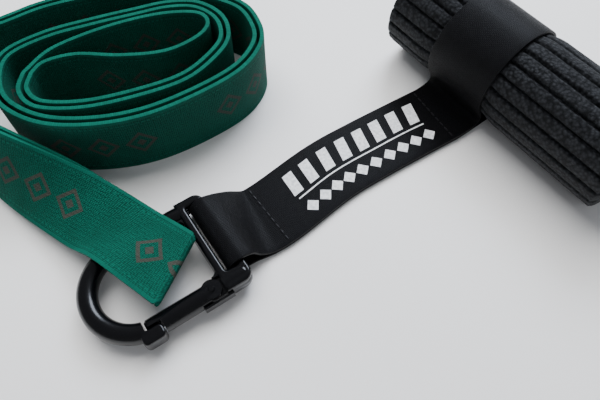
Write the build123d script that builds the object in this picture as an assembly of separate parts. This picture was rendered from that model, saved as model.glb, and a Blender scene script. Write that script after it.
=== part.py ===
"""Stretching strap: a closed elastic band hooked on a sprung clip, with webbing and a foam roll.

Millimetres, +Z up. The set lies on a flat surface at z = 0: the band in a standing coil, the clip
level, the webbing flat and the roll on its side.
"""

import os
from math import atan2, cos, degrees, radians, sin

from build123d import *

os.makedirs("parts", exist_ok=True)

# Middle of the laid-out set, moved to the origin.
ORIGIN_X = -5.38
ORIGIN_Y = 138.61

# Clip
CLIP_X = -28.1
CLIP_Y = 82.2
CLIP_Z = 6.6
CLIP_TURN = 34.4
ROD_R = 3.85
BOW_U = -30.3
BOW_V = 12.1
BOW_R = 17.6
SPINE_V = BOW_V + BOW_R
FRAME_U0 = -3.4
FRAME_U1 = 8.2
FRAME_V0 = -9.3
FRAME_V1 = 33.5
SLOT_U = 5.0
SLOT_V0 = -2.0
SLOT_V1 = 29.7
BAR_U = (SLOT_U + FRAME_U1) / 2

# Gate
HINGE_U = -8.0
HINGE_V = -5.3
NOSE_U = -34.0
GATE_R = 4.0
RIVET_R = 1.2
NOSE_TIP_U = -28.5
NOSE_V = -11.1
LAP_V = -5.3
FIT = 0.04
TONGUE_T = 3.2
FORK_GAP = 3.8
CAM_FLAT = 2.7
CAM_R = 3.4
PLUNGER_R = 1.5
PLUNGER_TIP = 4.3

# Webbing
WEB_W = 31.0
WEB_T = 1.3
WEB_GAP = 0.1
WEB_LOOP_R = 4.95
PRINT_T = 0.15

# Foam roll
ROLL_X = 82.4
ROLL_Y = 177.4
ROLL_TURN = -52.3
ROLL_R = 21.5
WAIST_R = 20.5
ROLL_BEFORE = 43.8
ROLL_AFTER = 74.2
GROOVES = 20
GROOVE_DEEP = 1.8
GROOVE_WIDE = 1.3

# Elastic band
BAND_W = 30.0
BAND_T = 1.8
STRAND = 1.6
TUCK = 4.0

WRAP_R = WAIST_R + 0.08 + WEB_T / 2
ROLL_Z = WRAP_R + WEB_T / 2

clip_place = Pos(CLIP_X, CLIP_Y, CLIP_Z) * Rot(0, 0, CLIP_TURN)
CLIP_U = Vector(cos(radians(CLIP_TURN)), sin(radians(CLIP_TURN)), 0)
CLIP_V = Vector(-sin(radians(CLIP_TURN)), cos(radians(CLIP_TURN)), 0)


def save(shape, name):
    shape = Pos(-ORIGIN_X, -ORIGIN_Y, 0) * shape
    export_step(shape, f"parts/{name}.step")


def rod_u(u0, u1, v, radius):
    """Round rod along the clip from u0 to u1."""
    return Pos((u0 + u1) / 2, v, 0) * Rot(0, 90, 0) * Cylinder(radius, abs(u1 - u0))


def block(u0, u1, v0, v1, high):
    """Upright block centred on the clip's middle plane."""
    return Pos((u0 + u1) / 2, (v0 + v1) / 2, 0) * Box(u1 - u0, v1 - v0, high)


def cross_section(near, far, along, thick):
    """Closed outline across a ribbon whose edges pass through near and far."""
    normal = (far - near).cross(along).normalized() * (thick / 2)
    corners = [near + normal, far + normal, far - normal, near - normal]
    return Wire.make_polygon(corners, close=True)


def ribbon(nears, fars, thick, first=None, last=None):
    """Solid ribbon through pairs of edge points."""
    mids = [(a + b) * 0.5 for a, b in zip(nears, fars)]
    count = len(mids)
    outlines = []
    for i in range(count):
        along = mids[min(i + 1, count - 1)] - mids[max(i - 1, 0)]
        if i == 0 and first:
            along = first
        if i == count - 1 and last:
            along = last
        outlines.append(cross_section(nears[i], fars[i], along, thick))
    return Solid.make_loft(outlines, ruled=True)


def smooth(points, steps):
    """Points along a smooth curve that passes through every given point."""
    line = [points[0] * 2 - points[1]] + points + [points[-1] * 2 - points[-2]]
    result = []
    for i in range(1, len(line) - 2):
        a, b, c, d = line[i - 1 : i + 3]
        for k in range(steps):
            t = k / steps
            result.append(
                b
                + (c - a) * (0.5 * t)
                + (a * 2 - b * 5 + c * 4 - d) * (0.5 * t * t)
                + (b * 3 - a - c * 3 + d) * (0.5 * t * t * t)
            )
    result.append(points[-1])
    return result


# ---------------------------------------------------------------- clip body
bow = Pos(BOW_U, BOW_V, 0) * Rot(0, 0, 90) * revolve(
    Plane.XZ * Pos(BOW_R, 0) * Circle(ROD_R), Axis.Z, revolution_arc=175
)
bow -= block(NOSE_U - 0.7, 0, -20, 3, 20)
spine = rod_u(BOW_U, FRAME_U0 + 1, SPINE_V, ROD_R)

outline = Pos((FRAME_U0 + FRAME_U1) / 2, (FRAME_V0 + FRAME_V1) / 2) * Rectangle(
    FRAME_U1 - FRAME_U0, FRAME_V1 - FRAME_V0
)
outline = fillet(outline.vertices().sort_by(Axis.X)[-2:], 4.0)
slot = Pos(SLOT_U / 2, (SLOT_V0 + SLOT_V1) / 2) * Rectangle(SLOT_U, SLOT_V1 - SLOT_V0)
slot = fillet(slot.vertices(), 1.2)
frame = Pos(0, 0, -ROD_R) * extrude(outline - slot, 2 * ROD_R)
frame = fillet(frame.edges().filter_by(GeomType.LINE).filter_by(Plane.XY), 1.3)

tongue = block(HINGE_U, FRAME_U0 + 1, HINGE_V - CAM_R, HINGE_V + CAM_R, TONGUE_T)
tongue += Pos(HINGE_U, HINGE_V, 0) * Cylinder(CAM_R, TONGUE_T)
tongue -= block(HINGE_U - 9, HINGE_U - CAM_FLAT, HINGE_V - 5, HINGE_V + 5, 9)
tongue -= Pos(HINGE_U, HINGE_V, 0) * Cylinder(RIVET_R + FIT, 20)
barrel = rod_u(FRAME_U0, FRAME_U1 - 3.0, HINGE_V - 0.1, GATE_R + 0.1)
barrel += Pos(FRAME_U1 - 3.0, HINGE_V - 0.1, 0) * scale(Sphere(GATE_R + 0.1), by=(0.75, 1, 1))
barrel -= block(-0.1, SLOT_U, SLOT_V0, SLOT_V0 + 5, 20)
lip = block(HINGE_U - 5.5, FRAME_U0 + 2, FRAME_V0 - 1.2, FRAME_V0 - 0.35, 3.4)
lip += block(FRAME_U0 + 0.2, FRAME_U0 + 2, FRAME_V0 - 1.2, FRAME_V0 + 1.5, 3.4)
lip = fillet(lip.edges().filter_by(Axis.Z).group_by(Axis.X)[0], 0.4)

nose = block(NOSE_U - 3.2, NOSE_TIP_U, NOSE_V, LAP_V - 0.35, 7.0)
nose = fillet(nose.edges().filter_by(Axis.Z), 1.9)
nose = fillet(nose.faces().sort_by(Axis.Z)[-1].edges(), 1.0)
nose = fillet(nose.faces().sort_by(Axis.Z)[0].edges(), 1.0)
gussets = Part()
for corner_v, side in ((SPINE_V - ROD_R, -1), (SLOT_V0 + 0.8, 1)):
    web = block(FRAME_U0 - 2.5, FRAME_U0 + 0.5, *sorted((corner_v - side * 0.5, corner_v + side * 2.5)), 6)
    gussets += web - Pos(FRAME_U0 - 2.5, corner_v + side * 2.5, 0) * Cylinder(2.5, 20)
clip_body = bow + spine + frame + barrel + tongue + lip + nose + gussets
save(clip_place * clip_body, "clip_body")

rivet = Pos(HINGE_U, HINGE_V, 0) * Cylinder(RIVET_R, 2 * GATE_R + 0.4)
save(clip_place * chamfer(rivet.edges(), 0.2), "hinge_rivet")

# ---------------------------------------------------------------- gate
gate = rod_u(NOSE_U, HINGE_U, HINGE_V, GATE_R)
gate = chamfer(gate.edges().filter_by(GeomType.CIRCLE).sort_by(Axis.X)[0], 0.8)
ear = Pos(HINGE_U, HINGE_V, 0) * Cylinder(GATE_R - 0.2, 2 * GATE_R - 1.0)
gate = gate + ear
gate -= block(HINGE_U - CAM_R - 0.8, 0, -12, 2, FORK_GAP)
gate -= Pos(HINGE_U, HINGE_V, 0) * Cylinder(RIVET_R + FIT, 20)
gate -= block(NOSE_U - 1, NOSE_TIP_U + 0.4, -12, LAP_V, 20)
gate -= rod_u(-25.0, HINGE_U - CAM_R, HINGE_V, PLUNGER_R + FIT)
save(clip_place * gate, "gate")

plunger = rod_u(-18.0, HINGE_U - PLUNGER_TIP, HINGE_V, PLUNGER_R)
plunger += Pos(HINGE_U - PLUNGER_TIP, HINGE_V, 0) * Sphere(PLUNGER_R)
save(clip_place * plunger, "spring_plunger")

coil_path = Helix(pitch=1.1, height=5.5, radius=1.1)
wire_end = Plane(origin=coil_path @ 0, z_dir=coil_path % 0)
spring = sweep(wire_end * Rectangle(0.5, 0.5), path=coil_path)
save(clip_place * Pos(-24.3, HINGE_V, 0) * Rot(0, 90, 0) * spring, "gate_spring")

# ---------------------------------------------------------------- webbing
bar = Vector(CLIP_X, CLIP_Y, 0) + CLIP_U * BAR_U + CLIP_V * ((SLOT_V0 + SLOT_V1) / 2)
roll_mid = Vector(ROLL_X, ROLL_Y, 0)
roll_out = Vector(cos(radians(ROLL_TURN + 90)), sin(radians(ROLL_TURN + 90)), 0)
course = [
    bar - CLIP_U * 12,
    bar,
    bar + CLIP_U * 8,
    Vector(-11.5, 109.0, 0),
    Vector(11.3, 129.0, 0),
    Vector(29.0, 141.2, 0),
    Vector(48.5, 153.4, 0),
    roll_mid - roll_out * 26,
]
plan = Spline(course, tangents=[CLIP_U, roll_out])
AT_BAR = 12.0
at_roll = plan.length + 26.0


def across_at(distance, offset, high):
    """Point beside the webbing's centreline, offset toward its left edge."""
    if distance >= plan.length:
        left = Vector(-roll_out.Y, roll_out.X, 0)
        return roll_mid + roll_out * (distance - at_roll) + left * offset + Vector(0, 0, high)
    along = plan.tangent_at(distance, position_mode=PositionMode.LENGTH)
    left = Vector(-along.Y, along.X, 0)
    middle = plan.position_at(distance, position_mode=PositionMode.LENGTH)
    return middle + left * offset + Vector(0, 0, high)


low = WEB_T / 2
high = low + WEB_T + WEB_GAP
profile = []
for turn in range(-90, 216, 6):
    profile.append((at_roll + WRAP_R * cos(radians(turn)), ROLL_Z + WRAP_R * sin(radians(turn))))
profile += [(at_roll - 16.7, 7.8), (at_roll - 16.0, 5.2), (at_roll - 17.0, 3.1), (at_roll - 20.0, high + 0.05)]
profile += [(at_roll - 25 - 5 * i, high) for i in range(3)]
profile += [(at_roll - 40 - 7 * i, high) for i in range(9)]
profile += [(AT_BAR + 26, high), (AT_BAR + 22, high), (AT_BAR + 19, high), (AT_BAR + 16, high + 0.12)]
profile += [(AT_BAR + 12.6, high + 1.7), (AT_BAR + 9, high + 4.6), (AT_BAR + 5, high + 7.7)]
for turn in range(75, 300, 15):
    profile.append((AT_BAR + WEB_LOOP_R * cos(radians(turn)), CLIP_Z + WEB_LOOP_R * sin(radians(turn))))
profile += [(AT_BAR + 8, low + 0.5), (AT_BAR + 16, low)]
profile += [(AT_BAR + 26 + 9 * i, low) for i in range(11)]
lefts = [across_at(s, WEB_W / 2, z) for s, z in profile]
rights = [across_at(s, -WEB_W / 2, z) for s, z in profile]
seam = Vector(roll_out.X, roll_out.Y, 0)
cut = 56
along_cut = (rights[cut + 1] + lefts[cut + 1]) - (rights[cut - 1] + lefts[cut - 1])
half_one = ribbon(rights[: cut + 1], lefts[: cut + 1], WEB_T, first=seam, last=along_cut)
half_two = ribbon(
    rights[cut:] + rights[:1], lefts[cut:] + lefts[:1], WEB_T, first=along_cut, last=seam
)
webbing = half_one.fuse(half_two)
save(webbing, "webbing_strap")
top_z = high + WEB_T / 2


def stitch_rows(starts, name):
    """Rows of sewn stitches across the webbing."""
    dashes = Part()
    for distance in starts:
        for i in range(9):
            spot = across_at(distance, -12.8 + 3.2 * i, top_z + 0.15)
            along = plan.tangent_at(distance, position_mode=PositionMode.LENGTH)
            turn = degrees(atan2(along.Y, along.X))
            dashes += Pos(spot.X, spot.Y, spot.Z) * Rot(0, 0, turn) * Box(0.7, 2.4, 0.3)
    save(dashes, name)


stitch_rows((AT_BAR + 20.8,), "clip_end_stitching")
stitch_rows((at_roll - 29.0,), "roll_end_stitching")


def printed(distance, offset, shape):
    """A flat printed mark laid on the top of the webbing."""
    spot = across_at(distance, offset, top_z)
    along = plan.tangent_at(distance, position_mode=PositionMode.LENGTH)
    turn = degrees(atan2(along.Y, along.X))
    return Pos(spot.X, spot.Y, spot.Z) * Rot(0, 0, turn) * extrude(shape, PRINT_T, dir=(0, 0, 1))


slab = Polygon((-3.6, -5.2), (1.4, -5.2), (3.6, 5.2), (-1.4, 5.2), align=None)
dot = Rot(0, 0, 45) * Rectangle(4.4, 4.4)
PRINT_FROM = AT_BAR + 35
PRINT_LONG = 68
bold = Part()
for i in range(8):
    bold += printed(PRINT_FROM + 3 + i * 9, 5.2, slab)
small = Part()
for i in range(10):
    small += printed(PRINT_FROM + 2 + i * 7.2, -8.0, dot)
save(bold, "print_bold_marks")
save(small, "print_small_marks")
rule_steps = [PRINT_FROM + i * PRINT_LONG / 16 for i in range(17)]
rule_z = top_z + PRINT_T / 2
rule = ribbon(
    [across_at(s, -2.3, rule_z) for s in rule_steps],
    [across_at(s, -1.7, rule_z) for s in rule_steps],
    PRINT_T,
)
save(rule, "print_line")

# ---------------------------------------------------------------- foam roll
half = WEB_W / 2 + 0.4
side = [
    (0, -ROLL_BEFORE),
    (ROLL_R - 1.2, -ROLL_BEFORE),
    (ROLL_R, -ROLL_BEFORE + 1.2),
    (ROLL_R, -half - 1.5),
    (WAIST_R, -half),
    (WAIST_R, half),
    (ROLL_R, half + 1.5),
    (ROLL_R, ROLL_AFTER - 1.2),
    (ROLL_R - 1.2, ROLL_AFTER),
    (0, ROLL_AFTER),
]
foam = revolve(Plane.XZ * Polygon(*side, align=None), Axis.Z)
long = ROLL_BEFORE + ROLL_AFTER + 4
for i in range(GROOVES):
    groove = Pos(ROLL_R, 0, (ROLL_AFTER - ROLL_BEFORE) / 2) * Box(2 * GROOVE_DEEP, GROOVE_WIDE, long)
    foam -= Rot(0, 0, i * 360 / GROOVES) * groove
foam = Pos(ROLL_X, ROLL_Y, ROLL_Z) * Rot(0, 0, ROLL_TURN) * Rot(0, 90, 0) * foam
save(foam, "foam_roll")

# ---------------------------------------------------------------- elastic band
COIL_RUN = [
    (-151, 163), (-146.5, 177), (-128.8, 188.5), (-112, 199), (-85, 208), (-65, 209),
    (-45, 206.5), (-28, 199.5), (-20.4, 188.8), (-18.4, 177.1), (-25, 163), (-40, 150.2),
    (-60, 138.8), (-80, 133.7), (-100, 134.4), (-116.5, 143), (-123.3, 156), (-122.3, 168.8),
    (-108.4, 180), (-90, 187.9), (-73.3, 194), (-59, 198.8), (-46.2, 198.8), (-35.8, 191.2),
    (-32.5, 179.2), (-37.3, 168), (-47.5, 156.5), (-65, 148), (-85, 142), (-102.5, 142),
    (-110.6, 149), (-111, 158),
]
END_LOOP = [
    (-105, 170.8), (-90, 181.3), (-73.3, 189.2), (-58, 193.6), (-45, 193.6), (-40.3, 187.5),
    (-44.2, 179.2), (-56.7, 170.8), (-75, 168.1), (-93.3, 168.6), (-105.5, 164.2),
]
RUN_START = Vector(-0.16, 0.987, 0).normalized()


def beside(points, offset, first):
    """A line of points moved sideways, to the left when offset is positive."""
    moved = []
    for i, spot in enumerate(points):
        along = first
        if i:
            along = points[min(i + 1, len(points) - 1)] - points[i - 1]
        moved.append(spot + Vector(-along.Y, along.X, 0).normalized() * offset)
    return moved


run = smooth([Vector(x, y, 0) for x, y in COIL_RUN], 4)
outer = beside(run, STRAND, RUN_START)
inner = beside(run, -STRAND, RUN_START)
end_loop = smooth([outer[-1]] + [Vector(x, y, 0) for x, y in END_LOOP] + [inner[-1]], 3)
strand = outer[:-1] + end_loop + inner[:-1][::-1]
rise = Vector(0, 0, BAND_W)
coil = ribbon(strand, [p + rise for p in strand], BAND_T, first=RUN_START, last=-RUN_START)

ACROSS = Vector(0.369, 0.929, 0)
fold_out = Vector(0.929, -0.369, 0)
fold_mid = Vector(-43.5, 79.2, 0) - fold_out * 2.1
fold_low = 12.0
fold_r = 1.2
fold_near = fold_mid - ACROSS * 15
fold_far = fold_mid + ACROSS * 15
near_end = Vector(-91.4, 94.5, 0)
far_end = Vector(-79.7, 117.6, 0)


def on_clip(start, end, v, z):
    """Point of a band edge where it meets a line parallel to the clip's spine."""
    here = (start - Vector(CLIP_X, CLIP_Y, 0)).dot(CLIP_V)
    there = (end - Vector(CLIP_X, CLIP_Y, 0)).dot(CLIP_V)
    flat = start + (end - start) * ((v - here) / (there - here))
    return Vector(flat.X, flat.Y, z)


def strand_edges(sign):
    """Edge points of one strand from the coil to just short of the clip."""
    rows = [
        (Vector(-151, 163, 0), Vector(-151, 163, 30)),
        (Vector(-140, 141, 0), Vector(-139.6, 141.6, 30)),
        (Vector(-122.6, 117.6, 2.4), Vector(-114.8, 130.9, 27.0)),
        (Vector(-90.2, 93.3, 5.2), Vector(-79.7, 117.6, 17.2)),
    ]
    travel = [-RUN_START, Vector(0.5, -0.86, 0), Vector(0.72, -0.69, 0), Vector(0.84, -0.54, 0)]
    nears = []
    fars = []
    for (near, far), along in zip(rows, travel):
        shift = along.cross(far - near).normalized() * (STRAND * sign)
        nears.append(near + shift)
        fars.append(far + shift)
    return nears, fars


p_near, p_far = strand_edges(1)
q_near, q_far = strand_edges(-1)
p_near += [on_clip(fold_near, near_end, SPINE_V, 12.3), on_clip(fold_near, near_end, 14, 13.9)]
p_far += [on_clip(fold_far, far_end, SPINE_V, 14.8), on_clip(fold_far, far_end, 22, 14.6)]
p_near.append(fold_near + Vector(0, 0, fold_low + 2 * fold_r))
p_far.append(fold_far + Vector(0, 0, fold_low + 2 * fold_r))
tuck = ACROSS * TUCK
q_near[-1] += tuck * 0.5
for v, z in ((35, 0.9), (23.2, 0.95), (18.5, 6.4), (13.5, 11.9)):
    q_near.append(on_clip(fold_near + tuck, near_end + tuck, v, z))
q_far += [on_clip(fold_far, far_end, v, z) for v, z in ((35, 0.9), (24.4, 0.95), (20, 6.4), (16, 11.7))]
q_near.append(fold_near + tuck * 0.4 + Vector(0, 0, fold_low))
q_far.append(fold_far + Vector(0, 0, fold_low))
bend_near = []
bend_far = []
for turn in (60, 30, 0, -30, -60):
    shift = fold_out * (fold_r * cos(radians(turn)))
    shift += Vector(0, 0, fold_low + fold_r + fold_r * sin(radians(turn)))
    bend_near.append(fold_near + shift)
    bend_far.append(fold_far + shift)


def above_floor(points):
    """Keep a strand's line at or above its own half thickness."""
    kept = []
    for i, spot in enumerate(points):
        lowest = BAND_T / 2 * min(1, i / 12)
        kept.append(Vector(spot.X, spot.Y, max(spot.Z, lowest)))
    return kept


lead_near = above_floor(smooth(p_near, 6)) + bend_near + above_floor(smooth(q_near, 6))[::-1]
lead_far = smooth(p_far, 6) + bend_far + above_floor(smooth(q_far, 6))[::-1]
lead = ribbon(lead_near, lead_far, BAND_T, first=-RUN_START, last=RUN_START)
band = coil.fuse(lead)
save(band, "elastic_band")

join = Part()
join_out = RUN_START.cross(Vector(0, 0, 1)) * -(STRAND + BAND_T / 2)
for i in range(2):
    for k in range(8):
        spot = Vector(-151, 163, 0) + RUN_START * (3 + 3.5 * i) + join_out
        join += Pos(spot.X, spot.Y, 4.0 + 3.15 * k) * Rot(0, 0, 9.2) * Box(0.5, 0.7, 2.2)
save(join, "band_join_stitching")
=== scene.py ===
"""Stretching strap: an elastic band, a sprung clip, printed webbing and a foam roll on a table."""

from __future__ import annotations

import logging
import math
from collections.abc import Callable
from dataclasses import dataclass
from enum import Enum

import bmesh
import bpy
from mathutils import Matrix, Vector


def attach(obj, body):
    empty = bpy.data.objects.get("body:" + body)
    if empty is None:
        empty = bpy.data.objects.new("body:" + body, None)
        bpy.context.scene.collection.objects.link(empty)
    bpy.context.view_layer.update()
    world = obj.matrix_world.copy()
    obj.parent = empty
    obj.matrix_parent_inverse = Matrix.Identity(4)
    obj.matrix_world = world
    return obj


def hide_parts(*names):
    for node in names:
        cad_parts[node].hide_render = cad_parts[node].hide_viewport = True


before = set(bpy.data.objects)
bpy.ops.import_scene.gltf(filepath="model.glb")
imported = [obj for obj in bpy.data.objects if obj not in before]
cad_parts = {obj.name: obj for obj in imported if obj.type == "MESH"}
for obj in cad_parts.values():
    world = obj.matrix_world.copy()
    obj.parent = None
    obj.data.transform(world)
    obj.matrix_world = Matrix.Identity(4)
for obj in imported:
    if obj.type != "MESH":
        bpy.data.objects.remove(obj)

LOG = logging.getLogger("stretching_strap")
MM = 0.001
# Centre of the laid-out set, in the layout's own millimetres.
ORIGIN = Vector((-5.38, 138.61, 0.0))
CLOTH_MAP = "Cloth"

Line = list[Vector]


class Side(Enum):
    """Which strand of the doubled band a line is."""

    OUTER = 1.0
    INNER = -1.0


def linear(code: str, alpha: float = 1.0) -> tuple[float, float, float, float]:
    """Turns an sRGB hex colour into linear light.

    Args:
        code: six hex digits, with or without a hash.
        alpha: the fourth value.

    Returns:
        Linear red, green, blue and alpha.
    """
    code = code.lstrip("#")
    parts = [int(code[i : i + 2], 16) / 255 for i in (0, 2, 4)]
    red, green, blue = (c / 12.92 if c <= 0.04045 else ((c + 0.055) / 1.055) ** 2.4 for c in parts)
    return red, green, blue, alpha


def add_node(tree: bpy.types.NodeTree, kind: str, settings: dict | None = None, inputs: dict | None = None):
    """Adds a node with its settings, values and links.

    Args:
        tree: the material's tree.
        kind: the node's type name.
        settings: attributes to set on the node.
        inputs: socket name or number to a value or to another node's output.

    Returns:
        The new node.
    """
    node = tree.nodes.new(kind)
    for name, value in (settings or {}).items():
        setattr(node, name, value)
    for name, value in (inputs or {}).items():
        if isinstance(value, bpy.types.NodeSocket):
            tree.links.new(value, node.inputs[name])
        else:
            node.inputs[name].default_value = value
    return node


def smooth(points: Line, steps: int) -> Line:
    """Rounds a line of points.

    Args:
        points: points the line passes through.
        steps: new points for each stretch.

    Returns:
        The rounded line.
    """
    line = [points[0] * 2 - points[1], *points, points[-1] * 2 - points[-2]]
    result = []
    for a, b, c, d in zip(line, line[1:], line[2:], line[3:]):
        for k in range(steps):
            t = k / steps
            bend = (c - a) * t + (a * 2 - b * 5 + c * 4 - d) * t * t + (b * 3 - a - c * 3 + d) * t**3
            result.append(b + bend * 0.5)
    return [*result, points[-1].copy()]


def turned(along: Vector) -> Vector:
    """The level direction to the left of a direction of travel."""
    return Vector((-along.y, along.x, 0)).normalized()


@dataclass
class Ribbon:
    """A flat ribbon that closes on itself, given by its two edge lines.

    near and far are matching points on the two edges, in layout millimetres.
    """

    name: str
    near: Line
    far: Line
    width: float
    thick: float
    step: float
    columns: int
    edge_round: float = 0.35
    bend_weight: float = 3.5

    def length(self) -> float:
        """Length of the middle line round the whole ribbon."""
        mids = [(a + b) * 0.5 for a, b in zip(self.near, self.far)]
        return sum((b - a).length for a, b in zip(mids, mids[1:] + mids[:1]))

    def rows(self) -> list[tuple[Vector, Vector, float]]:
        """Pairs of edge points, closer together where the ribbon bends.

        Returns:
            Near point, far point and distance along; the last pair is the first again.
        """
        near = [*self.near, self.near[0]]
        far = [*self.far, self.far[0]]
        mids = [(a + b) * 0.5 for a, b in zip(near, far)]
        walked, weighed = [0.0], [0.0]
        for i in range(1, len(mids)):
            stride = mids[i] - mids[i - 1]
            ahead = mids[(i + 1) % (len(mids) - 1)] - mids[i % (len(mids) - 1)]
            bend = stride.angle(ahead, 0.0)
            walked.append(walked[-1] + stride.length)
            weighed.append(weighed[-1] + stride.length + bend * self.bend_weight)
        count = round(weighed[-1] / self.step)
        made = []
        at = 0
        for i in range(count + 1):
            goal = weighed[-1] * i / count
            while at < len(weighed) - 2 and weighed[at + 1] < goal:
                at += 1
            share = (goal - weighed[at]) / max(weighed[at + 1] - weighed[at], 1e-9)
            distance = walked[at] + (walked[at + 1] - walked[at]) * share
            made.append((near[at].lerp(near[at + 1], share), far[at].lerp(far[at + 1], share), distance))
        return made

    def build(self, shape: Callable[[float, float], float] | None = None) -> bpy.types.Object:
        """Makes the ribbon's mesh, with a map in millimetres along and across it.

        Args:
            shape: height above the middle surface at a distance along and across.

        Returns:
            The ribbon, with its thickness and rounded edges as modifiers.
        """
        rows = self.rows()
        count = len(rows) - 1
        bm = bmesh.new()
        bmesh.ops.create_grid(bm, x_segments=count, y_segments=self.columns, size=0.5)
        chart = bm.loops.layers.uv.new(CLOTH_MAP)
        for face in bm.faces:
            for loop in face.loops:
                spot = loop.vert.co
                loop[chart].uv = (rows[round((spot.x + 0.5) * count)][2], (spot.y + 0.5) * self.width)
        for vert in bm.verts:
            i = round((vert.co.x + 0.5) * count)
            share = vert.co.y + 0.5
            near, far, distance = rows[i]
            ahead = rows[(i + 1) % count][0] + rows[(i + 1) % count][1]
            behind = rows[(i - 1) % count][0] + rows[(i - 1) % count][1]
            face_out = (ahead - behind).cross(far - near).normalized()
            lift = shape(distance, share * self.width) if shape else 0.0
            vert.co = (near.lerp(far, share) + face_out * lift - ORIGIN) * MM
        bmesh.ops.remove_doubles(bm, verts=bm.verts, dist=1e-6)
        return self.finish(bm)

    def finish(self, bm: bmesh.types.BMesh) -> bpy.types.Object:
        """Turns the surface into a solid ribbon with soft edges."""
        piece = new_piece(self.name, bm)
        wall = piece.modifiers.new("Thickness", "SOLIDIFY")
        wall.thickness = self.thick * MM
        wall.offset = 0.0
        wall.use_quality_normals = True
        rim = piece.modifiers.new("Soft edge", "BEVEL")
        rim.width = self.edge_round * MM
        rim.segments = 3
        rim.limit_method = "ANGLE"
        rim.angle_limit = math.radians(50)
        return piece


def new_piece(name: str, bm: bmesh.types.BMesh, shade_smooth: bool = True) -> bpy.types.Object:
    """Makes an object from a bmesh and puts it in the scene.

    Args:
        name: the piece's name.
        bm: its mesh, which is freed.
        shade_smooth: whether its faces are shaded smooth.

    Returns:
        The new object.
    """
    mesh = bpy.data.meshes.new(name)
    for face in bm.faces:
        face.smooth = shade_smooth
    bm.to_mesh(mesh)
    bm.free()
    piece = bpy.data.objects.new(name, mesh)
    bpy.context.scene.collection.objects.link(piece)
    return piece


class Finish:
    """Shared start of every finish: a named material with one shader."""

    name = "Finish"

    def start(self) -> tuple[bpy.types.Material, bpy.types.NodeTree, bpy.types.Node]:
        """Makes an empty material with its shader and output."""
        material = bpy.data.materials.new(self.name)
        material.use_nodes = True
        tree = material.node_tree
        tree.nodes.clear()
        shader = add_node(tree, "ShaderNodeBsdfPrincipled")
        add_node(tree, "ShaderNodeOutputMaterial", None, {"Surface": shader.outputs[0]})
        return material, tree, shader

    def make(self) -> bpy.types.Material:
        """Makes the material."""
        raise NotImplementedError


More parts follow.
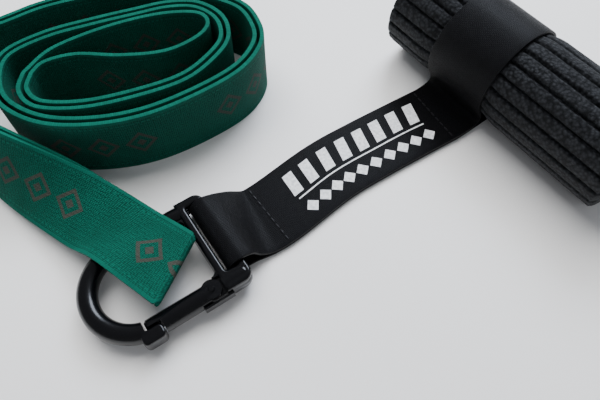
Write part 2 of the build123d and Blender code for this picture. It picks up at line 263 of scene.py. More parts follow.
@dataclass(frozen=True)
class WovenElastic(Finish):
    """Polyester and latex elastic, loom woven: matt, faintly hairy, with a smooth rolled selvage."""

    name: str = "Woven elastic"
    yarn: str = "#04604F"
    gap: str = "#03352C"
    selvage: str = "#066252"
    mark: str = "#423E3A"
    width: float = 30.0
    pick: float = 0.8
    warp: float = 0.62
    rib: float = 1.5
    dash: float = 2.0
    lock_at: float = 12.1
    lock_half: float = 0.32
    rolled_from: float = 13.35
    rolled_to: float = 13.75
    mark_pitch: float = 70.0
    mark_run: float = 23.0
    mark_half: float = 7.6
    ring_at: float = 5.6
    ring_half: float = 1.0
    core_half: float = 2.1

    def make(self) -> bpy.types.Material:
        """Weave, selvage, locking thread and a repeated diamond mark, all from the cloth's own map."""
        material, tree, shader = self.start()
        chart = add_node(tree, "ShaderNodeUVMap", {"uv_map": CLOTH_MAP}).outputs[0]
        parts = add_node(tree, "ShaderNodeSeparateXYZ", None, {0: chart})
        along, across = parts.outputs[0], parts.outputs[1]

        # Each stitch-like cell is one pick long and one warp yarn wide, as in real elastic of this width.
        cell = (1 / self.pick, 1 / self.warp, 1)
        stretch = add_node(tree, "ShaderNodeMapping", None, {"Vector": chart, "Scale": cell})
        cells = add_node(
            tree, "ShaderNodeTexVoronoi", {"voronoi_dimensions": "2D", "feature": "F1"},
            {"Vector": stretch.outputs[0], "Scale": 1.0, "Randomness": 0.35},
        )
        fuzz = add_node(
            tree, "ShaderNodeTexNoise", {"noise_dimensions": "2D"},
            {"Vector": chart, "Scale": 0.09, "Detail": 4.0, "Roughness": 0.6},
        ).outputs[0]
        rib_turn = add_node(
            tree, "ShaderNodeMath", {"operation": "MULTIPLY"}, {0: across, 1: 2 * math.pi / self.rib}
        ).outputs[0]
        ribs = add_node(tree, "ShaderNodeMath", {"operation": "SINE"}, {0: rib_turn}).outputs[0]
        offset = add_node(
            tree, "ShaderNodeMath", {"operation": "SUBTRACT"}, {0: across, 1: self.width / 2}
        ).outputs[0]
        from_mid = add_node(tree, "ShaderNodeMath", {"operation": "ABSOLUTE"}, {0: offset}).outputs[0]
        edge = add_node(
            tree, "ShaderNodeMapRange", {"interpolation_type": "SMOOTHSTEP"},
            {"Value": from_mid, "From Min": self.rolled_from, "From Max": self.rolled_to},
        ).outputs[0]
        thread_row = add_node(
            tree, "ShaderNodeMath", {"operation": "COMPARE"},
            {0: from_mid, 1: self.lock_at, 2: self.lock_half},
        ).outputs[0]
        dash_turn = add_node(
            tree, "ShaderNodeMath", {"operation": "MULTIPLY"}, {0: along, 1: 2 * math.pi / self.dash}
        ).outputs[0]
        dash_wave = add_node(tree, "ShaderNodeMath", {"operation": "SINE"}, {0: dash_turn}).outputs[0]
        dashes = add_node(
            tree, "ShaderNodeMath", {"operation": "GREATER_THAN"}, {0: dash_wave, 1: -0.1}
        ).outputs[0]
        thread = add_node(
            tree, "ShaderNodeMath", {"operation": "MULTIPLY"}, {0: thread_row, 1: dashes}
        ).outputs[0]

        # A row of nested diamonds is woven in, then a plain stretch.
        slide = add_node(
            tree, "ShaderNodeMath", {"operation": "PINGPONG"}, {0: along, 1: self.mark_pitch / 2}
        ).outputs[0]
        within = add_node(
            tree, "ShaderNodeMath", {"operation": "LESS_THAN"}, {0: slide, 1: self.mark_run}
        ).outputs[0]
        tooth = add_node(
            tree, "ShaderNodeMath", {"operation": "PINGPONG"}, {0: slide, 1: self.mark_half}
        ).outputs[0]
        rhomb = add_node(tree, "ShaderNodeMath", {"operation": "ADD"}, {0: tooth, 1: from_mid}).outputs[0]
        ring = add_node(
            tree, "ShaderNodeMath", {"operation": "COMPARE"},
            {0: rhomb, 1: self.ring_at, 2: self.ring_half},
        ).outputs[0]
        core = add_node(
            tree, "ShaderNodeMath", {"operation": "LESS_THAN"}, {0: rhomb, 1: self.core_half}
        ).outputs[0]
        either = add_node(tree, "ShaderNodeMath", {"operation": "MAXIMUM"}, {0: ring, 1: core}).outputs[0]
        shown = add_node(
            tree, "ShaderNodeMath", {"operation": "MULTIPLY"}, {0: either, 1: within}
        ).outputs[0]
        mark = add_node(tree, "ShaderNodeMath", {"operation": "MULTIPLY"}, {0: shown, 1: 0.85}).outputs[0]

        shade = add_node(
            tree, "ShaderNodeMapRange", None,
            {"Value": cells.outputs["Distance"], "From Min": 0.05, "From Max": 0.62},
        ).outputs[0]
        cloth = add_node(
            tree, "ShaderNodeMix", {"data_type": "RGBA"},
            {0: shade, 6: linear(self.yarn), 7: linear(self.gap)},
        ).outputs[2]
        marked = add_node(
            tree, "ShaderNodeMix", {"data_type": "RGBA"}, {0: mark, 6: cloth, 7: linear(self.mark)}
        ).outputs[2]
        faint_edge = add_node(
            tree, "ShaderNodeMath", {"operation": "MULTIPLY"}, {0: edge, 1: 0.55}
        ).outputs[0]
        border = add_node(
            tree, "ShaderNodeMath", {"operation": "MAXIMUM"}, {0: faint_edge, 1: thread}
        ).outputs[0]
        border = add_node(tree, "ShaderNodeMath", {"operation": "MULTIPLY"}, {0: border, 1: 0.8}).outputs[0]
        edged = add_node(
            tree, "ShaderNodeMix", {"data_type": "RGBA"}, {0: border, 6: marked, 7: linear(self.selvage)}
        ).outputs[2]
        level = add_node(
            tree, "ShaderNodeMath", {"operation": "MULTIPLY_ADD"}, {0: fuzz, 1: 0.5, 2: 0.75}
        ).outputs[0]
        tone = add_node(
            tree, "ShaderNodeHueSaturation", None, {"Color": edged, "Value": level}
        ).outputs[0]
        tree.links.new(tone, shader.inputs["Base Color"])
        low_rib = add_node(tree, "ShaderNodeMath", {"operation": "MULTIPLY"}, {0: ribs, 1: 0.12}).outputs[0]
        weave = add_node(
            tree, "ShaderNodeMath", {"operation": "SUBTRACT"}, {0: low_rib, 1: cells.outputs["Distance"]}
        ).outputs[0]
        inner = add_node(
            tree, "ShaderNodeMath", {"operation": "MULTIPLY_ADD"}, {0: edge, 1: -0.85, 2: 1.0}
        ).outputs[0]
        calm = add_node(tree, "ShaderNodeMath", {"operation": "MULTIPLY"}, {0: weave, 1: inner}).outputs[0]
        relief = add_node(
            tree, "ShaderNodeMath", {"operation": "MULTIPLY_ADD"}, {0: thread, 1: 0.4, 2: calm}
        ).outputs[0]
        bump = add_node(
            tree, "ShaderNodeBump", None, {"Strength": 0.75, "Distance": 0.00035, "Height": relief}
        )
        tree.links.new(bump.outputs[0], shader.inputs["Normal"])
        shader.inputs["Roughness"].default_value = 0.75
        shader.inputs["Specular IOR Level"].default_value = 0.12
        shader.inputs["Sheen Weight"].default_value = 0.03
        shader.inputs["Sheen Roughness"].default_value = 0.4
        shader.inputs["Sheen Tint"].default_value = linear("#9FE0CC")
        return material


@dataclass(frozen=True)
class NylonWebbing(Finish):
    """Nylon webbing, shuttle woven: near black, with a satin shine along its ribs."""

    name: str = "Nylon webbing"
    yarn: str = "#111114"
    gap: str = "#030304"
    rib: float = 0.62
    pick: float = 0.95

    def make(self) -> bpy.types.Material:
        """A plain weave: ribs across the webbing, offset from row to row."""
        material, tree, shader = self.start()
        chart = add_node(tree, "ShaderNodeUVMap", {"uv_map": CLOTH_MAP}).outputs[0]

        weave = add_node(
            tree, "ShaderNodeTexBrick", {"offset": 0.5, "squash": 1.0},
            {
                "Vector": chart, "Scale": 1.0, "Brick Width": self.pick, "Row Height": self.rib,
                "Mortar Size": 0.1, "Mortar Smooth": 1.0, "Color1": linear(self.yarn),
                "Color2": linear("#0C0C0E"), "Mortar": linear(self.gap),
            },
        )
        fuzz = add_node(
            tree, "ShaderNodeTexNoise", {"noise_dimensions": "2D"},
            {"Vector": chart, "Scale": 0.5, "Detail": 5.0, "Roughness": 0.65},
        ).outputs[0]
        tree.links.new(weave.outputs["Color"], shader.inputs["Base Color"])
        yarns = add_node(
            tree, "ShaderNodeMath", {"operation": "SUBTRACT"}, {0: 1.0, 1: weave.outputs["Fac"]}
        ).outputs[0]
        relief = add_node(
            tree, "ShaderNodeMath", {"operation": "MULTIPLY_ADD"}, {0: fuzz, 1: 0.5, 2: yarns}
        ).outputs[0]
        bump = add_node(
            tree, "ShaderNodeBump", None, {"Strength": 0.7, "Distance": 0.0003, "Height": relief}
        )
        tree.links.new(bump.outputs[0], shader.inputs["Normal"])
        rough = add_node(
            tree, "ShaderNodeMath", {"operation": "MULTIPLY_ADD"}, {0: fuzz, 1: 0.18, 2: 0.4}
        ).outputs[0]
        tree.links.new(rough, shader.inputs["Roughness"])
        shader.inputs["Specular IOR Level"].default_value = 0.17
        shader.inputs["Sheen Weight"].default_value = 0.01
        shader.inputs["Sheen Roughness"].default_value = 0.4
        return material


@dataclass(frozen=True)
class PowderCoat(Finish):
    """Zinc die casting under black gloss powder coat: smooth, with a faint orange-peel ripple."""

    name: str = "Gloss powder coat"
    paint: str = "#060608"

    def make(self) -> bpy.types.Material:
        """Paint with a clear gloss and a fine ripple."""
        material, tree, shader = self.start()
        place = add_node(tree, "ShaderNodeTexCoord").outputs["Object"]
        # Orange peel on powder coat repeats about every millimetre.
        peel = add_node(
            tree, "ShaderNodeTexNoise", None, {"Vector": place, "Scale": 900.0, "Detail": 2.0}
        ).outputs[0]
        cloud = add_node(
            tree, "ShaderNodeTexNoise", None, {"Vector": place, "Scale": 160.0, "Detail": 3.0}
        ).outputs[0]
        rough = add_node(
            tree, "ShaderNodeMapRange", None, {"Value": cloud, "To Min": 0.2, "To Max": 0.3}
        ).outputs[0]
        bump = add_node(
            tree, "ShaderNodeBump", None, {"Strength": 0.12, "Distance": 0.0002, "Height": peel}
        )
        tree.links.new(rough, shader.inputs["Roughness"])
        tree.links.new(bump.outputs[0], shader.inputs["Normal"])
        shader.inputs["Base Color"].default_value = linear(self.paint)
        shader.inputs["Specular IOR Level"].default_value = 0.4
        shader.inputs["Coat Weight"].default_value = 0.15
        shader.inputs["Coat Roughness"].default_value = 0.1
        return material


@dataclass(frozen=True)
class DarkSteel(Finish):
    """Carbon steel with a black oxide: drawn, so fine lines run over it."""

    name: str = "Blackened steel"

    def make(self) -> bpy.types.Material:
        """Dark metal with fine drawn lines."""
        material, tree, shader = self.start()
        place = add_node(tree, "ShaderNodeTexCoord").outputs["Object"]
        lines = add_node(
            tree, "ShaderNodeTexNoise", None, {"Vector": place, "Scale": 2500.0, "Detail": 2.0}
        ).outputs[0]
        rough = add_node(
            tree, "ShaderNodeMapRange", None, {"Value": lines, "To Min": 0.3, "To Max": 0.5}
        ).outputs[0]
        tree.links.new(rough, shader.inputs["Roughness"])
        shader.inputs["Base Color"].default_value = linear("#3A3A3E")
        shader.inputs["Metallic"].default_value = 1.0
        return material


@dataclass(frozen=True)
class PrintInk(Finish):
    """Screen-printed plastisol ink: white, matt, broken by the weave below it."""

    name: str = "White screen-print ink"
    thin: str = "#C4C7CC"
    full: str = "#F2F4F6"

    def make(self) -> bpy.types.Material:
        """White ink with the weave's grain in it."""
        material, tree, shader = self.start()
        place = add_node(tree, "ShaderNodeTexCoord").outputs["Object"]
        grain = add_node(
            tree, "ShaderNodeTexNoise", None, {"Vector": place, "Scale": 900.0, "Detail": 3.0}
        ).outputs[0]
        tone = add_node(
            tree, "ShaderNodeMapRange", None, {"Value": grain, "From Min": 0.3, "From Max": 0.7}
        ).outputs[0]
        ink = add_node(
            tree, "ShaderNodeMix", {"data_type": "RGBA"},
            {0: tone, 6: linear(self.thin), 7: linear(self.full)},
        ).outputs[2]
        bump = add_node(
            tree, "ShaderNodeBump", None, {"Strength": 0.3, "Distance": 0.0002, "Height": grain}
        )
        tree.links.new(ink, shader.inputs["Base Color"])
        tree.links.new(bump.outputs[0], shader.inputs["Normal"])
        shader.inputs["Roughness"].default_value = 0.6
        return material


@dataclass(frozen=True)
class SewingThread(Finish):
    """Bonded polyester thread: black, twisted, with a low shine."""

    name: str = "Bonded thread"
    dark: str = "#0C0C0E"
    pale: str = "#26262A"

    def make(self) -> bpy.types.Material:
        """Dark thread with its twist."""
        material, tree, shader = self.start()
        place = add_node(tree, "ShaderNodeTexCoord").outputs["Object"]
        twist = add_node(
            tree, "ShaderNodeTexWave", {"bands_direction": "DIAGONAL"}, {"Vector": place, "Scale": 700.0}
        ).outputs[1]
        tone = add_node(
            tree, "ShaderNodeMix", {"data_type": "RGBA"},
            {0: twist, 6: linear(self.dark), 7: linear(self.pale)},
        ).outputs[2]
        tree.links.new(tone, shader.inputs["Base Color"])
        shader.inputs["Roughness"].default_value = 0.5
        return material


@dataclass(frozen=True)
class MouldedFoam(Finish):
    """Closed-cell foam, moulded: charcoal, matt, with a pebbled skin; the pits between beads carry painted
    shade.
    """

    name: str = "Closed-cell foam"
    face: str = "#2B2D31"
    painted_pit_shade: str = "#0C0D0F"
    bead_mm: float = 1.3

    def make(self) -> bpy.types.Material:
        """Pebbles of foam beads, with painted shade darkening the pits between them."""
        material, tree, shader = self.start()
        place = add_node(tree, "ShaderNodeTexCoord").outputs["Object"]
        beads = add_node(
            tree, "ShaderNodeTexVoronoi", {"feature": "SMOOTH_F1"},
            {"Vector": place, "Scale": 1000.0 / self.bead_mm, "Smoothness": 0.4},
        ).outputs[0]
        grit = add_node(
            tree, "ShaderNodeTexNoise", None,
            {"Vector": place, "Scale": 1400.0, "Detail": 4.0, "Roughness": 0.7},
        ).outputs[0]
        # Painted shade: the colour runs from the bead tops to near black in the pits between beads.
        tone = add_node(
            tree, "ShaderNodeMapRange", None, {"Value": beads, "From Min": 0.15, "From Max": 0.7}
        ).outputs[0]
        colour = add_node(
            tree, "ShaderNodeMix", {"data_type": "RGBA"},
            {0: tone, 6: linear(self.face), 7: linear(self.painted_pit_shade)},
        ).outputs[2]
        height = add_node(
            tree, "ShaderNodeMath", {"operation": "MULTIPLY_ADD"}, {0: beads, 1: -1.0, 2: grit}
        ).outputs[0]
        bump = add_node(
            tree, "ShaderNodeBump", None, {"Strength": 0.8, "Distance": 0.0005, "Height": height}
        )
        tree.links.new(colour, shader.inputs["Base Color"])
        tree.links.new(bump.outputs[0], shader.inputs["Normal"])
        shader.inputs["Roughness"].default_value = 0.78
        shader.inputs["Specular IOR Level"].default_value = 0.4
        return material


@dataclass(frozen=True)
class TableTop(Finish):
    """White laminate table top: matt, very slightly uneven."""

    name: str = "White laminate"
    face: str = "#F3F3F4"

    def make(self) -> bpy.types.Material:
        """Pale laminate with a soft satin."""
        material, tree, shader = self.start()
        place = add_node(tree, "ShaderNodeTexCoord").outputs["Object"]
        cloud = add_node(
            tree, "ShaderNodeTexNoise", None, {"Vector": place, "Scale": 6.0, "Detail": 2.0}
        ).outputs[0]
        rough = add_node(
            tree, "ShaderNodeMapRange", None, {"Value": cloud, "To Min": 0.42, "To Max": 0.5}
        ).outputs[0]
        tree.links.new(rough, shader.inputs["Roughness"])
        shader.inputs["Base Color"].default_value = linear(self.face)
        return material


@dataclass
class Clip:
    """The clip's frame, and the lines that the soft pieces take from it."""

    x: float = -28.1
    y: float = 82.2
    z: float = 6.6
    turn: float = math.radians(34.4)
    spine: float = 29.7

    @property
    def u(self) -> Vector:
        """Along the clip, towards the slot."""
        return Vector((math.cos(self.turn), math.sin(self.turn), 0))

    @property
    def v(self) -> Vector:
        """Across the clip, towards the spine."""
        return Vector((-math.sin(self.turn), math.cos(self.turn), 0))

    def meet(self, start: Vector, end: Vector, v: float, z: float) -> Vector:
        """Where a line crosses a line parallel to the spine.

        Args:
            start: one point of the line.
            end: another point of it.
            v: distance of the parallel line.
            z: height given to the crossing.

        Returns:
            The crossing.
        """
        base = Vector((self.x, self.y, 0))
        here = (start - base).dot(self.v)
        there = (end - base).dot(self.v)
        flat = start.lerp(end, (v - here) / (there - here))
        return Vector((flat.x, flat.y, z))

    def dress(self) -> None:
        """Gives the clip's metal pieces their finishes."""
        paint = PowderCoat().make()
        steel = DarkSteel().make()
        for node, finish in (
            ("clip_body", paint), ("gate", paint), ("hinge_rivet", paint),
            ("gate_spring", steel), ("spring_plunger", steel),
        ):
            dress_node(node, finish)


def dress_node(node: str, material: bpy.types.Material) -> None:
    """Puts one finish on a carried-over node."""
    obj = bpy.data.objects[node]
    obj.data.materials.clear()
    obj.data.materials.append(material)


@dataclass
class ElasticBand:
    """The closed loop of elastic: a doubled coil on edge, a twisted lead and a fold in the clip."""

    clip: Clip
    width: float = 30.0
    thick: float = 1.7
    strand: float = 1.6
    fold_low: float = 12.0
    fold_r: float = 1.2
    tuck: float = 4.0
    corner: float = 2.4
    lays_over: int = 16

    coil: tuple[tuple[float, float], ...] = (
        (-151, 163), (-146.5, 177), (-128.8, 188.5), (-112, 199), (-85, 208), (-65, 209),
        (-45, 206.5), (-28, 199.5), (-20.4, 188.8), (-18.4, 177.1), (-25, 163), (-40, 150.2),
        (-60, 138.8), (-80, 133.7), (-100, 134.4), (-116.5, 143), (-123.3, 156), (-122.3, 168.8),
        (-108.4, 180), (-90, 187.9), (-73.3, 194), (-59, 198.8), (-46.2, 198.8), (-35.8, 191.2),
        (-32.5, 179.2), (-37.3, 168), (-47.5, 156.5), (-65, 148), (-85, 142), (-102.5, 142),
        (-110.6, 149), (-111, 158),
    )
    inner_end: tuple[tuple[float, float], ...] = (
        (-105, 170.8), (-90, 181.3), (-73.3, 189.2), (-58, 193.6), (-45, 193.6), (-40.3, 187.5),
        (-44.2, 179.2), (-56.7, 170.8), (-75, 168.1), (-93.3, 168.6), (-105.5, 164.2),
    )

    def coil_line(self) -> Line:
        """One strand's path round the coil, from the lead and back to it."""
        start = Vector((-0.16, 0.987, 0))
        run = smooth([Vector((x, y, 0)) for x, y in self.coil], 6)
        sides: dict[Side, Line] = {}
        for side in Side:
            line = []
            for i, spot in enumerate(run):
                along = run[min(i + 1, len(run) - 1)] - run[i - 1] if i else start
                line.append(spot + turned(along) * self.strand * side.value)
            sides[side] = line
        tip = [Vector((x, y, 0)) for x, y in self.inner_end]
        loop = smooth([sides[Side.OUTER][-1], *tip, sides[Side.INNER][-1]], 6)
        return sides[Side.OUTER][:-1] + loop + sides[Side.INNER][:-1][::-1]

    def lead_rows(self, side: Side) -> tuple[Line, Line]:
        """Edge points of one strand from the coil down to the clip.

        Args:
            side: which strand.

        Returns:
            Near edge and far edge.
        """
        rows = (
            ((-151, 163, 0), (-151, 163, 30), (0.16, -0.987, 0)),
            ((-140, 141, 0), (-139.6, 141.6, 30), (0.5, -0.86, 0)),
            ((-122.6, 117.6, 2.4), (-114.8, 130.9, 27.0), (0.72, -0.69, 0)),
            ((-90.2, 93.3, 5.2), (-79.7, 117.6, 17.2), (0.84, -0.54, 0)),
        )
        near, far = [], []
        for low, high, along in rows:
            shift = Vector(along).cross(Vector(high) - Vector(low)).normalized() * self.strand * side.value
            near.append(Vector(low) + shift)
            far.append(Vector(high) + shift)
        return near, far

    def route(self) -> tuple[Line, Line]:
        """Both edges of the whole loop."""
        coil = self.coil_line()
        across = Vector((0.369, 0.929, 0))
        out = Vector((0.929, -0.369, 0))
        middle = Vector((-43.5, 79.2, 0)) - out * 2.1
        tips = (middle - across * 15, middle + across * 15)
        ends = (Vector((-91.4, 94.5, 0)), Vector((-79.7, 117.6, 0)))
        outer = self.lead_rows(Side.OUTER)
        inner = self.lead_rows(Side.INNER)
        top = (((self.clip.spine, 12.3), (14, 13.9)), ((self.clip.spine, 14.8), (22, 14.6)))
        under = (
            ((35, 0.9), (23.2, 0.95), (18.5, 6.4), (13.5, 11.9)),
            ((35, 0.9), (24.4, 0.95), (20, 6.4), (16, 11.7)),
        )
        edges = []
        for k in (0, 1):
            tuck = across * (self.tuck if k == 0 else 0.0)
            inner[k][-1] += tuck * 0.5
            upper = outer[k] + [self.clip.meet(tips[k], ends[k], v, z) for v, z in top[k]]
            upper.append(tips[k] + Vector((0, 0, self.fold_low + 2 * self.fold_r)))
            lower = inner[k] + [self.clip.meet(tips[k] + tuck, ends[k] + tuck, v, z) for v, z in under[k]]
            lower.append(tips[k] + tuck * 0.4 + Vector((0, 0, self.fold_low)))
            bend = []
            inward = across * (1.0 if k == 0 else -1.0)
            for turn in (75, 60, 45, 30, 15, 0, -15, -30, -45, -60, -75):
                angle = math.radians(turn)
                rise = self.fold_low + self.fold_r * (1 + math.sin(angle))
                corner = inward * self.corner * math.cos(angle) ** 2
                bend.append(tips[k] + corner + out * self.fold_r * math.cos(angle) + Vector((0, 0, rise)))
            down = self.above_table(smooth(upper, 8))
            back = self.above_table(smooth(lower, 8))[::-1]
            lift = Vector((0, 0, self.width * k))
            edges.append(down[1:] + bend + back[:-1] + [p + lift for p in coil[::-1]])
        return edges[0], edges[1]

    def above_table(self, line: Line) -> Line:
        """Keeps a line off the table, by half the band's thickness once the band has laid over.

        Args:
            line: one edge of a strand, from the coil to the fold.

        Returns:
            The same line, lifted where it lay too low.
        """
        kept = []
        for i, spot in enumerate(line):
            lowest = self.thick / 2 * min(1, i / self.lays_over)
            kept.append(Vector((spot.x, spot.y, max(spot.z, lowest))))
        return kept

    def wave(self, along: float, across: float) -> float:
        """A slow wave in the cloth, in millimetres."""
        return 0.12 * math.sin(along / 17.0) * math.sin(across / 9.0)

    def build(self) -> bpy.types.Object:
        """Makes the band and its finish."""
        near, far = self.route()
        ribbon = Ribbon("band_cloth", near, far, self.width, self.thick, 2.0, 14)
        piece = ribbon.build(self.wave)
        piece.data.materials.append(WovenElastic().make())
        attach(piece, "band")
        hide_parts("elastic_band")
        LOG.info("band %.0f mm round", ribbon.length())
        return piece


@dataclass
class Webbing:
    """One length of webbing, sewn round the clip's bar and round the roll."""

    clip: Clip
    width: float = 31.0
    thick: float = 1.25
    bar_u: float = 6.6
    bar_v: float = 13.85
    loop_r: float = 4.95
    roll: tuple[float, float] = (82.4, 177.4)
    roll_turn: float = math.radians(37.7)
    waist: float = 20.5
    at_bar: float = 12.0

    def __post_init__(self) -> None:
        """Works out the plan line that the webbing follows."""
        u, v = self.clip.u, self.clip.v
        self.out = Vector((math.cos(self.roll_turn), math.sin(self.roll_turn), 0))
        self.roll_mid = Vector((*self.roll, 0))
        bar = Vector((self.clip.x, self.clip.y, 0)) + u * self.bar_u + v * self.bar_v
        turning = [bar - u * 12, bar, bar + u * 8]
        turning += [Vector(p) for p in ((-11.5, 109, 0), (11.3, 129, 0), (29, 141.2, 0), (48.5, 153.4, 0))]
        turning += [self.roll_mid - self.out * 26]
        self.plan = smooth(turning, 12)
        self.walked = [0.0]
        for a, b in zip(self.plan, self.plan[1:]):
            self.walked.append(self.walked[-1] + (b - a).length)
        self.at_roll = self.walked[-1] + 26.0
        self.wrap = self.waist + 0.08 + 0.65
        self.roll_z = self.wrap + 0.65

    def across_at(self, distance: float, offset: float, high: float) -> Vector:
        """A point beside the webbing's middle line.

        Args:
            distance: millimetres along the plan line.
            offset: millimetres to its left.
            high: height above the table.

        Returns:
            The point, in layout millimetres.
        """
        if distance >= self.walked[-1]:
            middle = self.roll_mid + self.out * (distance - self.at_roll)
            return middle + turned(self.out) * offset + Vector((0, 0, high))
        i = 0
        while i < len(self.walked) - 2 and self.walked[i + 1] < distance:
            i += 1
        share = (distance - self.walked[i]) / (self.walked[i + 1] - self.walked[i])
        ahead = self.plan[min(i + 2, len(self.plan) - 1)] - self.plan[max(i - 1, 0)]
        return self.plan[i].lerp(self.plan[i + 1], share) + turned(ahead) * offset + Vector((0, 0, high))

    def profile(self) -> list[tuple[float, float]]:
        """Distance along and height of the whole loop, seen from the side."""
        low, high = 0.65, 2.05
        bar = self.at_bar
        line = []
        for turn in range(-90, 216, 6):
            angle = math.radians(turn)
            rise = self.wrap * math.sin(angle)
            line.append((self.at_roll + self.wrap * math.cos(angle), self.roll_z + rise))
        for back, z in ((16.7, 7.8), (16.0, 5.2), (17.0, 3.1), (20.0, high + 0.05)):
            line.append((self.at_roll - back, z))
        line += [(self.at_roll - 25 - 5 * i, high) for i in range(3)]
        line += [(self.at_roll - 40 - 7 * i, high) for i in range(9)]
        line += [(bar + 26, high), (bar + 22, high), (bar + 19, high), (bar + 16, high + 0.12)]
        line += [(bar + 12.6, high + 1.7), (bar + 9, high + 4.6), (bar + 5, high + 7.7)]
        for turn in range(75, 300, 15):
            angle = math.radians(turn)
            rise = self.loop_r * math.sin(angle)
            line.append((bar + self.loop_r * math.cos(angle), self.clip.z + rise))
        line += [(bar + 8, low + 0.5), (bar + 16, low)]
        return line + [(bar + 26 + 9 * i, low) for i in range(11)]

    def build(self) -> bpy.types.Object:
        """Makes the webbing, its stitches and its print."""
        line = self.profile()
        rounded = smooth([Vector((s, 0, z)) for s, z in [*line, line[0]]], 3)[:-1]
        left = [self.across_at(p.x, self.width / 2, p.z) for p in rounded]
        right = [self.across_at(p.x, -self.width / 2, p.z) for p in rounded]
        ribbon = Ribbon("webbing_cloth", right, left, self.width, self.thick, 1.6, 10, 0.3)
        piece = ribbon.build()
        piece.data.materials.append(NylonWebbing().make())
        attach(piece, "strap")
        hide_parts("webbing_strap")
        thread = SewingThread().make()
        stitches = [
            self.stitches("stitches_clip_end", "clip_end_stitching", (self.at_bar + 20.8,), thread),
            self.stitches("stitches_roll_end", "roll_end_stitching", (self.at_roll - 29.0,), thread),
        ]
        ink = PrintInk().make()
        for node in ("print_bold_marks", "print_line", "print_small_marks"):
            dress_node(node, ink)
        dress_node("band_join_stitching", thread)
        LOG.info("webbing %.0f mm round", ribbon.length())
        return piece

    def stitches(
        self, name: str, node: str, rows: tuple[float, ...], thread: bpy.types.Material
    ) -> bpy.types.Object:
        """Rows of rounded stitches on the top layer.

        Args:
            name: the piece's name.
            node: the node it stands for.
            rows: distances of the rows along the webbing.
            thread: the thread's finish.

        Returns:
            The stitches, as one piece.
        """
        bm = bmesh.new()
        for distance in rows:
            here = self.across_at(distance, 0, 0)
            ahead = self.across_at(distance + 0.5, 0, 0) - here
            turn = Matrix.Rotation(math.atan2(ahead.y, ahead.x), 4, "Z")
            for i in range(9):
                spot = (self.across_at(distance, -12.8 + 3.2 * i, 2.75) - ORIGIN) * MM
                size = Matrix.Diagonal((0.38 * MM, 1.3 * MM, 0.3 * MM, 1))
                place = Matrix.Translation(spot) @ turn @ size
                bmesh.ops.create_uvsphere(bm, u_segments=10, v_segments=6, radius=1.0, matrix=place)
        piece = new_piece(name, bm)
        piece.data.materials.append(thread)
        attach(piece, "strap")
        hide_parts(node)
        return piece


@dataclass
class FoamRoll:
    """The ribbed foam roll, squeezed to a waist by the webbing."""

    webbing: Webbing
    radius: float = 21.5
    before: float = 43.8
    after: float = 74.2
    ribs: int = 20
    groove: float = 1.9
    per_rib: int = 14
    step: float = 1.5
    end_back: float = 1.6
    # Distance past the last station, share of the groove's depth, and how far in the ring lies.
    ends: tuple[tuple[float, float, float], ...] = (
        (0.25, 1.0, 0.35), (0.9, 1.0, 1.1), (1.5, 1.0, 2.4), (1.6, 0.8, 4.5), (1.5, 0.5, 9.0),
        (1.5, 0.2, 15.0),
    )

    def rib_height(self, angle: float) -> float:
        """Radius round the roll, low in the grooves and flat on the ribs."""
        phase = (angle / (2 * math.pi) * self.ribs) % 1.0
        away = min(phase, 1 - phase) * 2
        rise = min(1.0, max(0.0, (away - 0.04) / 0.2))
        crown = 0.35 * (1 - (2 * phase - 1) ** 2)
        return self.groove * (rise * rise * (3 - 2 * rise) - 1) + crown - 0.35

    def squeeze(self, s: float) -> float:
        """How far the webbing presses the foam in, at a distance along the roll."""
        half = self.webbing.width / 2 + 0.4
        away = max(0.0, abs(s) - half) / 7.0
        return max(0.0, 1 - away) ** 2

    def build(self) -> bpy.types.Object:
        """Makes the roll by pushing one ribbed ring along the axis."""
        count = int((self.before + self.after - 2 * self.end_back) / self.step) + 1
        stations = [-self.before + self.end_back + i * self.step for i in range(count)]
        stations.append(self.after - self.end_back)
        rings = [(stations[0] - out, grooved, inward) for out, grooved, inward in reversed(self.ends)]
        rings += [(s, 1.0, self.squeeze(s)) for s in stations]
        rings += [(stations[-1] + out, grooved, inward) for out, grooved, inward in self.ends]
        bm = bmesh.new()
        made = bmesh.ops.create_circle(bm, segments=self.ribs * self.per_rib, radius=1.0)
        ring = list(made["verts"])
        edges = list({e for v in ring for e in v.link_edges})
        angles = {v: math.atan2(v.co.y, v.co.x) % (2 * math.pi) for v in ring}
        self.place_ring(angles, rings[0])
        first = edges
        for station in rings[1:]:
            grown = bmesh.ops.extrude_edge_only(bm, edges=edges)["geom"]
            fresh = [g for g in grown if isinstance(g, bmesh.types.BMVert)]
            edges = [g for g in grown if isinstance(g, bmesh.types.BMEdge)]
            angles = {v: math.atan2(v.co.z, v.co.y) % (2 * math.pi) for v in fresh}
            self.place_ring(angles, station)
        for rim in (first, edges):
            bmesh.ops.contextual_create(bm, geom=rim)
        bmesh.ops.recalc_face_normals(bm, faces=bm.faces)
        axis_turn = Matrix.Rotation(self.webbing.roll_turn - math.pi / 2, 4, "Z")
        middle = (Vector((*self.webbing.roll, self.webbing.roll_z)) - ORIGIN) * MM
        place = Matrix.Translation(middle) @ axis_turn @ Matrix.Scale(MM, 4)
        bmesh.ops.transform(bm, matrix=place, verts=bm.verts)
        piece = new_piece("ribbed_foam", bm)
        piece.data.materials.append(MouldedFoam().make())
        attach(piece, "roll")
        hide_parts("foam_roll")
        LOG.info("foam roll %.0f mm long", self.before + self.after)
        return piece

    def place_ring(self, angles: dict, station: tuple[float, float, float]) -> None:
        """Sets one ring's points.

        Args:
            angles: each point's angle round the roll.
            station: distance along, depth of the grooves and how far in it lies.
        """
        s, grooved, inward = station
        for vert, angle in angles.items():
            radius = self.radius - inward + self.rib_height(angle) * grooved
            vert.co = Vector((s, radius * math.cos(angle), radius * math.sin(angle)))


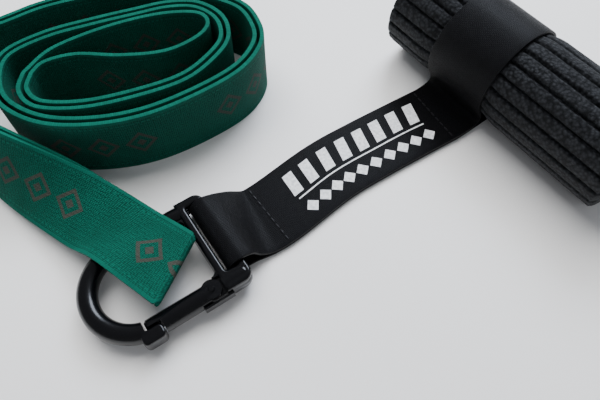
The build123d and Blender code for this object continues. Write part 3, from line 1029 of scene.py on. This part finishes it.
@dataclass
class Studio:
    """Table, soft light and the camera."""

    height: float = 200.63
    pitch: float = math.radians(59.86)
    roll: float = math.radians(0.39)
    lens: float = 33.6

    def camera(self) -> None:
        """Sets the camera that looks down across the table."""
        data = bpy.data.cameras.new("Camera")
        data.lens = self.lens
        data.sensor_width = 36.0
        camera = bpy.data.objects.new("Camera", data)
        ahead = Vector((0, math.cos(self.pitch), -math.sin(self.pitch)))
        up = Vector((0, math.sin(self.pitch), math.cos(self.pitch)))
        side = Vector((1, 0, 0))
        right = side * math.cos(self.roll) + up * math.sin(self.roll)
        top = up * math.cos(self.roll) - side * math.sin(self.roll)
        turn = Matrix((right, top, -ahead)).transposed().to_4x4()
        camera.matrix_world = Matrix.Translation((Vector((0, 0, self.height)) - ORIGIN) * MM) @ turn
        bpy.context.scene.collection.objects.link(camera)
        bpy.context.scene.camera = camera

    def table(self) -> None:
        """Lays the table top under the set."""
        bm = bmesh.new()
        bmesh.ops.create_grid(bm, x_segments=1, y_segments=1, size=3.0)
        bmesh.ops.translate(bm, verts=bm.verts, vec=(0, 0, -0.0001))
        floor = new_piece("floor", bm, False)
        floor.data.materials.append(TableTop().make())

    def light(
        self, name: str, spot: tuple[float, float, float], size: tuple[float, float], power: float,
        tint: str, shines: bool = True,
    ) -> None:
        """Adds a soft light that faces the middle of the set.

        Args:
            name: the light's name.
            spot: where it hangs, in metres.
            size: its width and height in metres.
            power: its power in watts.
            tint: its colour.
            shines: whether glossy surfaces reflect it.
        """
        data = bpy.data.lights.new(name, "AREA")
        data.shape = "RECTANGLE"
        data.size, data.size_y = size
        data.energy = power
        data.color = linear(tint)[:3]
        lamp = bpy.data.objects.new(name, data)
        lamp.location = spot
        lamp.visible_glossy = shines
        lamp.rotation_euler = (-Vector(spot)).to_track_quat("-Z", "Y").to_euler()
        bpy.context.scene.collection.objects.link(lamp)

    def build(self) -> None:
        """Makes the table, lights and camera."""
        self.table()
        self.light("Window", (0.35, 0.95, 0.85), (0.7, 0.5), 15.0, "#E6F0FF")
        self.light("Ceiling", (-0.2, 0.75, 1.25), (1.6, 1.2), 41.0, "#FBFAF8", False)
        self.light("Fill", (0.1, -0.9, 0.9), (1.2, 0.8), 2.5, "#FFFFFF", False)
        world = bpy.data.worlds.new("Studio")
        world.use_nodes = True
        ground = world.node_tree.nodes["Background"]
        ground.inputs[0].default_value = linear("#E9EDF4")
        ground.inputs[1].default_value = 0.22
        bpy.context.scene.world = world
        self.camera()


def main() -> None:
    """Builds the set, piece by piece."""
    logging.basicConfig(level=logging.INFO)
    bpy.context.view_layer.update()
    clip = Clip()
    clip.dress()
    webbing = Webbing(clip)
    for part in (ElasticBand(clip), webbing, FoamRoll(webbing)):
        piece = part.build()
        LOG.info("%s: %d faces", piece.name, len(piece.data.polygons))
    Studio().build()


if __name__ == "__main__":
    main()
